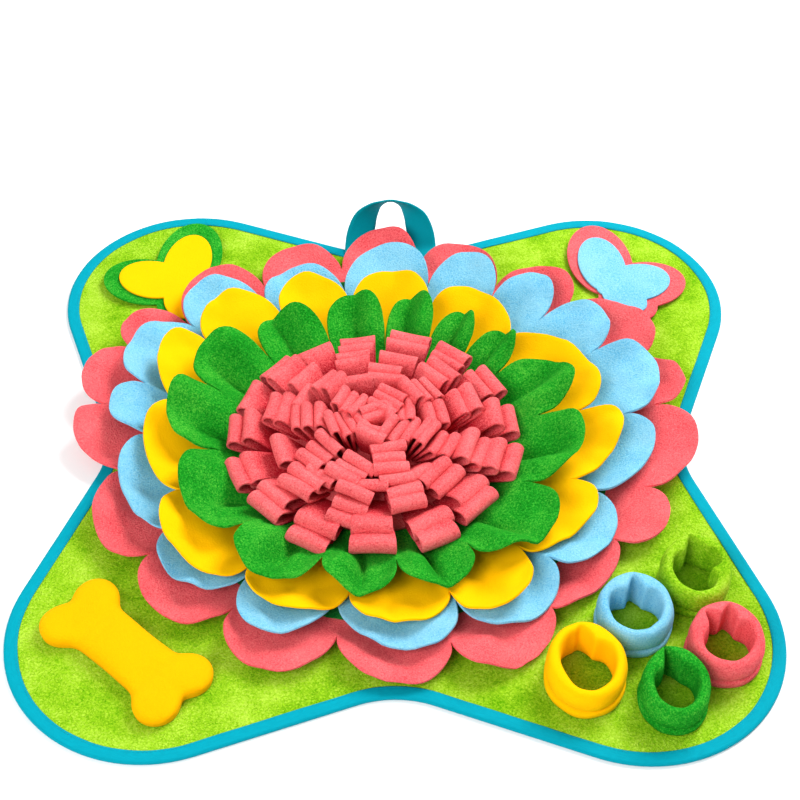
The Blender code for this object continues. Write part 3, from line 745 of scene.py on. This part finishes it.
def corner_cloth(sheet):
    """One layer of a corner flower, its leaf tips a little lifted."""
    patch = Patches()
    rows = []
    for row in range(LEAF_ROWS + 1):
        share = LEAF_CORE + (1 - LEAF_CORE) * row / LEAF_ROWS
        line = []
        for step in range(LEAF_COLUMNS):
            angle = -2 * pi * step / LEAF_COLUMNS
            edge = leaf_edge(sheet, angle)
            radius = edge * share
            height = sheet.base + LEAF_LIFT * share ** 2 * (edge / LEAF_LONG) ** 2
            line.append((sheet.x * MM + radius * cos(angle),
                         sheet.y * MM + radius * sin(angle), height))
        rows.append(line)
    patch.add_grid(rows, wrap=True)
    patch.faces.append(tuple(range(len(rows[0])))[::-1])
    piece = add_piece(sheet.name + "_cloth", patch, sheet.material, [sheet.name])
    thicken(piece, FLEECE)


# ---------------- pompom

POMPOM_X = -20 * MM
POMPOM_Y = -10 * MM
# Dome that the strips are sewn to: distance from its axis and height over its base, in mm.
DOME_PROFILE = ((0, 21), (45, 18.5), (75, 14), (93, 9), (101, 4), (101, 0))
DOME_STEPS = 60
# Stacks of folded strips: direction of a stack from the pompom's middle in degrees, distance of
# its heads in mm, its turn from square to that direction, how many strips stand one behind
# the other, their width and their pitch in mm.
Stack = namedtuple("Stack", "turn out twist count width pitch")
STACKS = [Stack(*row) for row in (
    (100, 117, 0, 2, 40, 13), (74, 122, 4, 2, 43, 13), (52, 126, -6, 2, 40, 14),
    (30, 130, 6, 2, 41, 14), (7, 129, -7, 2, 42, 15), (345, 133, 5, 2, 41, 15),
    (319, 128, -6, 2, 45, 16), (296, 134, 7, 2, 43, 18), (270, 130, 0, 2, 44, 18),
    (245, 136, -9, 2, 43, 17), (222, 134, 7, 2, 41, 15), (201, 137, -3, 2, 41, 14),
    (179, 132, 5, 2, 40, 14), (159, 134, -5, 1, 39, 14), (140, 127, 6, 2, 40, 13),
    (120, 121, -4, 1, 40, 14),
    (142, 94, 5, 1, 38, 13), (106, 87, -6, 2, 37, 11), (76, 88, 4, 1, 39, 13),
    (46, 93, -5, 2, 38, 13), (18, 96, 8, 2, 36, 14), (343, 103, -6, 2, 38, 14),
    (316, 92, 6, 2, 41, 14), (288, 97, 2, 2, 36, 14), (257, 103, -12, 3, 38, 13),
    (226, 103, 8, 2, 40, 14), (200, 98, -6, 1, 39, 14), (168, 100, 6, 2, 39, 13),
    (136, 66, 6, 2, 35, 12), (108, 57, -5, 1, 32, 11), (80, 60, 3, 2, 37, 11),
    (40, 60, -10, 3, 34, 11), (176, 67, 7, 3, 34, 11), (216, 67, 10, 3, 35, 12),
    (250, 66, -12, 3, 35, 12), (286, 57, -7, 4, 34, 12), (338, 58, -6, 5, 33, 10.5),
    (8, 61, 9, 2, 30, 11), (140, 32, 12, 3, 30, 10), (55, 24, 4, 3, 33, 10),
    (196, 28, 6, 4, 32, 10), (262, 20, -14, 2, 30, 10), (95, 7, 25, 2, 28, 10),
    (18, 26, -10, 3, 31, 10), (318, 24, 6, 2, 30, 10), (268, 80, 5, 1, 33, 12),
    (232, 84, -8, 1, 32, 12), (305, 78, 6, 1, 32, 12), (155, 80, -5, 1, 32, 12))]
# Heads of the strips: height in the middle, drop at HEAD_EDGE from it and lift at the back, in
# mm. Roots: share of the head's distance, depth in the dome and lowest height in mm, and share of
# the head's width. Half a fold's thickness is STRIP_GAP mm less than half the pitch.
HEAD_HIGH = 57
HEAD_DROP = 20.5
HEAD_EDGE = 120
BACK_LIFT = 4
ROOT_SHARE = 0.71
ROOT_DEPTH = 3
ROOT_LOW = 3.5
ROOT_WIDTH = 0.74
STRIP_THICK = 2.6 * MM
STRIP_GAP = 1.2
LOOP_SEED = 7
# Chance moves a strip's turn in degrees, its place along and across the stack and its height in
# mm, scales its root's distance, its fold's thickness and its width, and sets its bow in mm.
TURN_RANGE = (-7, 7)
ALONG_RANGE = (-1, 1)
ACROSS_RANGE = (-2.5, 2.5)
HIGH_RANGE = (-6, 2.5)
ROOT_SHARES = (0.86, 1.08)
THICK_SHARES = (0.9, 1.1)
WIDTH_SHARES = (0.88, 1.02)
BOW_RANGE = (-1.8, 1.2)
# Half of a strip's folded line below its round head: shares of the way up and of its half
# thickness, from the root.
STRIP_SIDE = ((0.0, 0.35), (0.3, 0.55), (0.6, 0.8), (0.85, 0.97))
HEAD_STEPS = 8
STRIP_COLUMNS = 5


def dome_height(radius):
    """Height of the dome's top over its base, at a distance from its axis."""
    for (near, high), (far, low) in zip(DOME_PROFILE, DOME_PROFILE[1:]):
        if radius <= far * MM:
            share = (radius / MM - near) / (far - near)
            return (high + (low - high) * share) * MM
    return 0


def loop_rows(root, head, side, width, half, bow):
    """Grid of one folded strip, across its width at each point of its folded line, and its map."""
    along = (head - root).normalized()
    side = (side - along * side.dot(along)).normalized()
    across = along.cross(side)
    straight = (head - root).length - half
    rising = [(straight * far, -half * off) for far, off in STRIP_SIDE]
    turns = [pi * (step / HEAD_STEPS - 0.5) for step in range(HEAD_STEPS + 1)]
    path = rising + [(straight + half * cos(turn), half * sin(turn)) for turn in turns]
    path += [(far, -off) for far, off in rising[::-1]]
    rows, flat = [], []
    for far, off in path:
        share_up = far / (straight + half)
        flat.append([(step / (STRIP_COLUMNS - 1), share_up) for step in range(STRIP_COLUMNS)])
        line = []
        for step in range(STRIP_COLUMNS):
            share = 2 * step / (STRIP_COLUMNS - 1) - 1
            bent = bow * (1 - share * share) * share_up ** 2
            reach = width / 2 * (ROOT_WIDTH + (1 - ROOT_WIDTH) * share_up)
            line.append(tuple(root + along * (far - 0.5 * abs(bent)) + across * (off + bent)
                              + side * (reach * share)))
        rows.append(line)
    return rows, flat


def strip_pompom():
    """All the folded strips, stack by stack, more upright towards the middle."""
    chance = Random(LOOP_SEED)
    patch = Patches()
    middle = Vector((POMPOM_X, POMPOM_Y, POMPOM_BASE))
    for stack in STACKS:
        for place in range(stack.count):
            turn = radians(stack.turn)
            square = turn + pi / 2 + radians(stack.twist + chance.uniform(*TURN_RANGE))
            side = Vector((cos(square), sin(square), 0))
            outward = Vector((side.y, -side.x, 0))
            off = stack.pitch * (place - (stack.count - 1) / 2) + chance.uniform(*ALONG_RANGE)
            spot = Vector((cos(turn), sin(turn), 0)) * stack.out + outward * off
            spot += side * chance.uniform(*ACROSS_RANGE)
            out = spot.length
            high = HEAD_HIGH - HEAD_DROP * (out / HEAD_EDGE) ** 2 + chance.uniform(*HIGH_RANGE)
            high += BACK_LIFT * sin(turn) * out / HEAD_EDGE
            root = spot * ROOT_SHARE * chance.uniform(*ROOT_SHARES) * MM
            root.z = max(ROOT_LOW * MM, dome_height(root.length) - ROOT_DEPTH * MM)
            head = spot * MM
            head.z = high * MM
            half = (stack.pitch * 0.5 - STRIP_GAP) * MM * chance.uniform(*THICK_SHARES)
            width = stack.width * MM * chance.uniform(*WIDTH_SHARES)
            bow = chance.uniform(*BOW_RANGE) * MM
            strip, flat = loop_rows(middle + root, middle + head, side, width, half, bow)
            patch.add_grid(strip, flat=flat)
    piece = add_piece("pompom_strips", patch, STRIP_CORAL, ["strip_pompom"])
    thicken(piece, STRIP_THICK, offset=0)


def pompom_backing():
    """Low fleece dome that the strips are sewn to."""
    patch = Patches()
    rows = [circle(POMPOM_X, POMPOM_Y, radius * MM, POMPOM_BASE + height * MM, DOME_STEPS)
            for radius, height in DOME_PROFILE[1:]]
    patch.add_grid(rows[::-1], wrap=True)
    patch.faces.append(tuple(len(patch.points) - DOME_STEPS + step for step in range(DOME_STEPS)))
    patch.faces.append(tuple(range(DOME_STEPS))[::-1])
    add_piece("pompom_backing", patch, CORAL)


# ---------------- bone and ring pockets

# Bone: its place and turn, half the distance of its ends' knobs, half that of an end's two knobs,
# a knob's radius, about half the shaft's width where it leaves them, what its middle is slimmer
# by, and the height.
BONE_X = -239 * MM
BONE_Y = -239 * MM
BONE_TURN = radians(-41.8)
BONE_HALF = 61 * MM
KNOB_SIDE = 20 * MM
KNOB_RADIUS = 22 * MM
SHAFT_HALF = 26.5 * MM
SHAFT_SLIM = 1 * MM
BONE_HIGH = 13.5 * MM
BONE_SOFTENING = 6
# Rings up the cushion: their number, how blunt it is, the underside's turn as a share of the
# top's, the seam's share of the height, how much the underside draws in, and the spine's length
# and width as shares of the outline's.
BONE_RINGS = 26
BONE_BLUNT = 0.7
BONE_LIFT = 0.3
BONE_SEAM = 0.36
BONE_UNDER = 0.05
SPINE_LONG = 0.95
SPINE_WIDE = 0.35
# Slack: depth and how fine it is (a metre). Dent where the shaft meets its knobs: place, half
# width and depth. They fade below 1 / SLACK_FULL and 1 / NECK_FULL of the height.
BONE_SLACK = 1.6 * MM
SLACK_RATE = 38
NECK_AT = 38 * MM
NECK_HALF = 7 * MM
NECK_DENT = 1.5 * MM
SLACK_FULL = 2
NECK_FULL = 1.4


def bone_outline(steps=24, side_steps=12):
    """Bone's edge in its own frame: a knob and half a side, four times."""
    notch = -atan2(KNOB_SIDE, sqrt(KNOB_RADIUS ** 2 - KNOB_SIDE ** 2))
    neck = pi - atan2(SHAFT_HALF - KNOB_SIDE, KNOB_RADIUS)
    knob = arc((BONE_HALF, KNOB_SIDE), KNOB_RADIUS, notch, neck, steps)
    side = []
    for step in range(1, side_steps + 1):
        share = step / side_steps
        x = knob[-1][0] * (1 - share)
        side.append((x, knob[-1][1] + (SHAFT_HALF - SHAFT_SLIM - knob[-1][1]) * smooth_step(share)))
    quarter = knob + side
    half = quarter + [(-x, y) for x, y in quarter[-2::-1]]
    outline = half + [(x, -y) for x, y in half[-2:0:-1]]
    for _ in range(BONE_SOFTENING):
        outline = [((a[0] + b[0] + c[0]) / 3, (a[1] + b[1] + c[1]) / 3)
                   for a, b, c in zip(outline[-1:] + outline, outline, outline[1:] + outline[:1])]
    return outline


def bone_cushion():
    """Filled bone: rings drawn in towards its spine, crowned, with slack dents in its cloth."""
    c, s = cos(BONE_TURN), sin(BONE_TURN)
    patch = Patches()
    rows = []
    for ring in range(BONE_RINGS + 1):
        turn = pi / 2 * (BONE_LIFT * ring / BONE_RINGS + ring / BONE_RINGS - BONE_LIFT)
        if turn > 0:
            share = max(0, cos(turn)) ** BONE_BLUNT
            height = BONE_SEAM + (1 - BONE_SEAM) * sin(turn) ** BONE_BLUNT
        else:
            share = 1 + BONE_UNDER * turn
            height = BONE_SEAM * (1 + turn / (BONE_LIFT * pi / 2))
        if ring == BONE_RINGS:
            share = 0
        loop = []
        for x, y in bone_outline():
            spine_x = max(-BONE_HALF, min(BONE_HALF, x)) * SPINE_LONG
            spine_y = y * SPINE_WIDE * min(1, abs(spine_x) / BONE_HALF) * sqrt(share)
            u = spine_x + (x - spine_x) * share
            v = spine_y + (y - spine_y) * share
            slack = BONE_SLACK * noise.noise(Vector((u * SLACK_RATE, v * SLACK_RATE, 2)))
            slack *= min(1, height * SLACK_FULL)
            neck = (abs(u) - NECK_AT) / NECK_HALF
            slack -= NECK_DENT * exp(-neck * neck) * min(1, height * NECK_FULL)
            loop.append((BONE_X + c * u - s * v, BONE_Y + s * u + c * v,
                         PINK_BASE + BONE_HIGH * height + slack))
        rows.append(loop)
    patch.add_grid(rows, wrap=True)
    patch.faces.append(tuple(range(len(rows[0])))[::-1])
    piece = add_piece("bone_cushion", patch, BONE_LIT_YELLOW, ["bone_pad"])


# Ring pockets: place and half widths in mm, and the folds of the inner wall: direction and half
# width in degrees, and how far in mm it pushes into the hole, or back where it is less than 0.
Fold = namedtuple("Fold", "turn half depth")
Pocket = namedtuple("Pocket", "name slot material x y half_x half_y folds")
POCKETS = (
    Pocket("ring_pocket_lime", "lime_fleece", LIME, 273, -164, 34, 36,
           (Fold(345, 18, 10), Fold(60, 18, 5), Fold(98, 8, -5), Fold(132, 18, 6))),
    Pocket("ring_pocket_blue", "light_blue_fleece", SKY, 213, -207, 35.5, 36,
           (Fold(55, 22, 9), Fold(122, 22, 9), Fold(90, 8, -4))),
    Pocket("ring_pocket_pink", "coral_fleece", CORAL, 290, -239, 35, 36,
           (Fold(48, 18, 8), Fold(80, 7, -4), Fold(104, 12, 6), Fold(130, 7, -4), Fold(162, 24, 7))),
    Pocket("ring_pocket_yellow", "yellow_fleece", YELLOW, 165, -266, 36.5, 40,
           (Fold(60, 24, 9), Fold(98, 8, -3), Fold(205, 34, 3))),
    Pocket("ring_pocket_green", "green_fleece", GREEN, 240, -287, 31, 36,
           (Fold(58, 26, 8), Fold(106, 8, -6), Fold(142, 20, 6))),
)
POCKET_STATIONS = 96
POCKET_BACK = 0.28
POCKET_POINTS = 48
# A fold's share on the outer wall; how far in the inner wall starts, and how much further it is
# full; a fold's share at the foot, which grows by 1 over FOLD_FOOT; and the share of a fold that
# lifts the rolled top, from TOP_FROM up and in full TOP_OVER higher. Lengths in mm.
FOLD_OUTSIDE = 0.15
INNER_FROM = 4
INNER_OVER = 6
FOLD_LOW = 0.45
FOLD_FOOT = 14
FOLD_TOP = 0.12
TOP_FROM = 24
TOP_OVER = 6
# Waves of the wall: depth in mm, how fine they are round it, and their size up it in mm.
WALL_WAVE = 1
WAVE_ROUND = 2.3
WAVE_HIGH = 14
# Distance in from the outer wall and height over the mat, in mm, round the collar's section: a
# cuff at the foot, the seam that draws it in, the wall and the rolled top.
POCKET_SECTION = (
    (1.2, 0), (0.3, 3), (0.8, 6.5), (3.6, 8.2), (1.8, 10.5), (0.9, 19), (2.6, 27.5), (7, 31),
    (11.5, 28), (13, 14), (11.5, 3), (8, 0))


def fold_push(pocket, turn):
    """How far the folds push the inner wall in, in mm, at a direction in degrees."""
    push = 0
    for fold in pocket.folds:
        off = (turn - fold.turn + 180) % 360 - 180
        push += fold.depth * exp(-(off / fold.half) ** 2)
    return push


def ring_pocket(pocket):
    """Soft collar sewn upright on the mat, with a cuff at its foot and folds in its wall."""
    patch = Patches()
    rows = []
    closed = POCKET_SECTION + POCKET_SECTION[:1]
    fine = [through(closed, step / POCKET_POINTS) for step in range(POCKET_POINTS)]
    for station in range(POCKET_STATIONS + 1):
        turn = 360 * station / POCKET_STATIONS
        angle = radians(turn)
        push = fold_push(pocket, turn)
        rise = 1 + POCKET_BACK * (1 + sin(angle)) / 2
        row = []
        for inward, height in fine:
            height = max(0, height)
            inner = smooth_step((inward - INNER_FROM) / INNER_OVER)
            share = FOLD_OUTSIDE + (1 - FOLD_OUTSIDE) * inner
            wave = noise.noise(Vector((cos(angle) * WAVE_ROUND, sin(angle) * WAVE_ROUND,
                                       height / WAVE_HIGH + pocket.x)))
            folded = inward + push * share * min(1, FOLD_LOW + height / FOLD_FOOT) + WALL_WAVE * wave
            top = height * rise + FOLD_TOP * push * smooth_step((height - TOP_FROM) / TOP_OVER)
            row.append(((pocket.x + (pocket.half_x - folded) * cos(angle)) * MM,
                        (pocket.y + (pocket.half_y - folded) * sin(angle)) * MM,
                        PINK_BASE + top * MM))
        rows.append(row)
    patch.add_grid(rows, wrap=True)
    piece = add_piece(pocket.name + "_collar", patch, pocket.material, [pocket.name])


# ---------------- stage, light, camera

# Square soft lights, aimed at the mat's middle: place and size in metres, power in watts.
Lamp = namedtuple("Lamp", "name place size power")
LAMPS = (Lamp("key", (1.25, 1.35, 1.75), 1.3, 90), Lamp("fill", (-1.2, -1.6, 1.8), 1.6, 58))
FLOOR_HALF = 30
FLOOR_DROP = 0.4 * MM


def area_light(lamp):
    """One of the lights."""
    light = bpy.data.lights.new(lamp.name, "AREA")
    light.size = lamp.size
    light.energy = lamp.power
    holder = bpy.data.objects.new(lamp.name, light)
    holder.location = lamp.place
    holder.rotation_euler = (-Vector(lamp.place)).to_track_quat("-Z", "Y").to_euler()
    bpy.context.scene.collection.objects.link(holder)


def studio():
    """Pale floor, soft lights and the camera at the photograph's view."""
    floor = Patches()
    floor.add_face([(x * FLOOR_HALF, y * FLOOR_HALF, -FLOOR_DROP)
                    for x, y in ((-1, -1), (1, -1), (1, 1), (-1, 1))])
    ground = bpy.data.objects.new("floor", floor.mesh("floor"))
    material, _, shader = new_material("floor_paint")
    settle(shader, Base_Color=(0.9, 0.9, 0.9, 1), Roughness=0.9)
    ground.data.materials.append(material)
    bpy.context.scene.collection.objects.link(ground)

    world = bpy.data.worlds.new("studio")
    world.use_nodes = True
    settle(world.node_tree.nodes["Background"], Color=(1, 1, 1, 1), Strength=0.5)
    bpy.context.scene.world = world
    for lamp in LAMPS:
        area_light(lamp)

    lens = bpy.data.cameras.new("camera")
    lens.lens = 72.884
    lens.sensor_width = 36
    lens.shift_x = 0.005920
    lens.shift_y = 0.068521
    camera = bpy.data.objects.new("camera", lens)
    camera.location = (-0.012242, -1.052834, 1.202787)
    camera.rotation_euler = (0.719004, -0.008941, -0.001413)
    bpy.context.scene.collection.objects.link(camera)
    bpy.context.scene.camera = camera
    bpy.context.scene.view_settings.view_transform = "Standard"


def main():
    """The stage and every piece, from the mat up."""
    studio()
    mat_cloth()
    binding_tape()
    binding_stitches()
    handle_webbing()
    flower_sheet(PINK_FLOWER, CORAL)
    disc_cloth()
    flower_sheet(BLUE_FLOWER, SKY)
    flower_sheet(YELLOW_FLOWER, YELLOW)
    flower_sheet(GREEN_FLOWER, GREEN)
    strip_pompom()
    pompom_backing()
    for sheet in CORNER_SHEETS:
        corner_cloth(sheet)
    bone_cushion()
    for pocket in POCKETS:
        ring_pocket(pocket)


main()
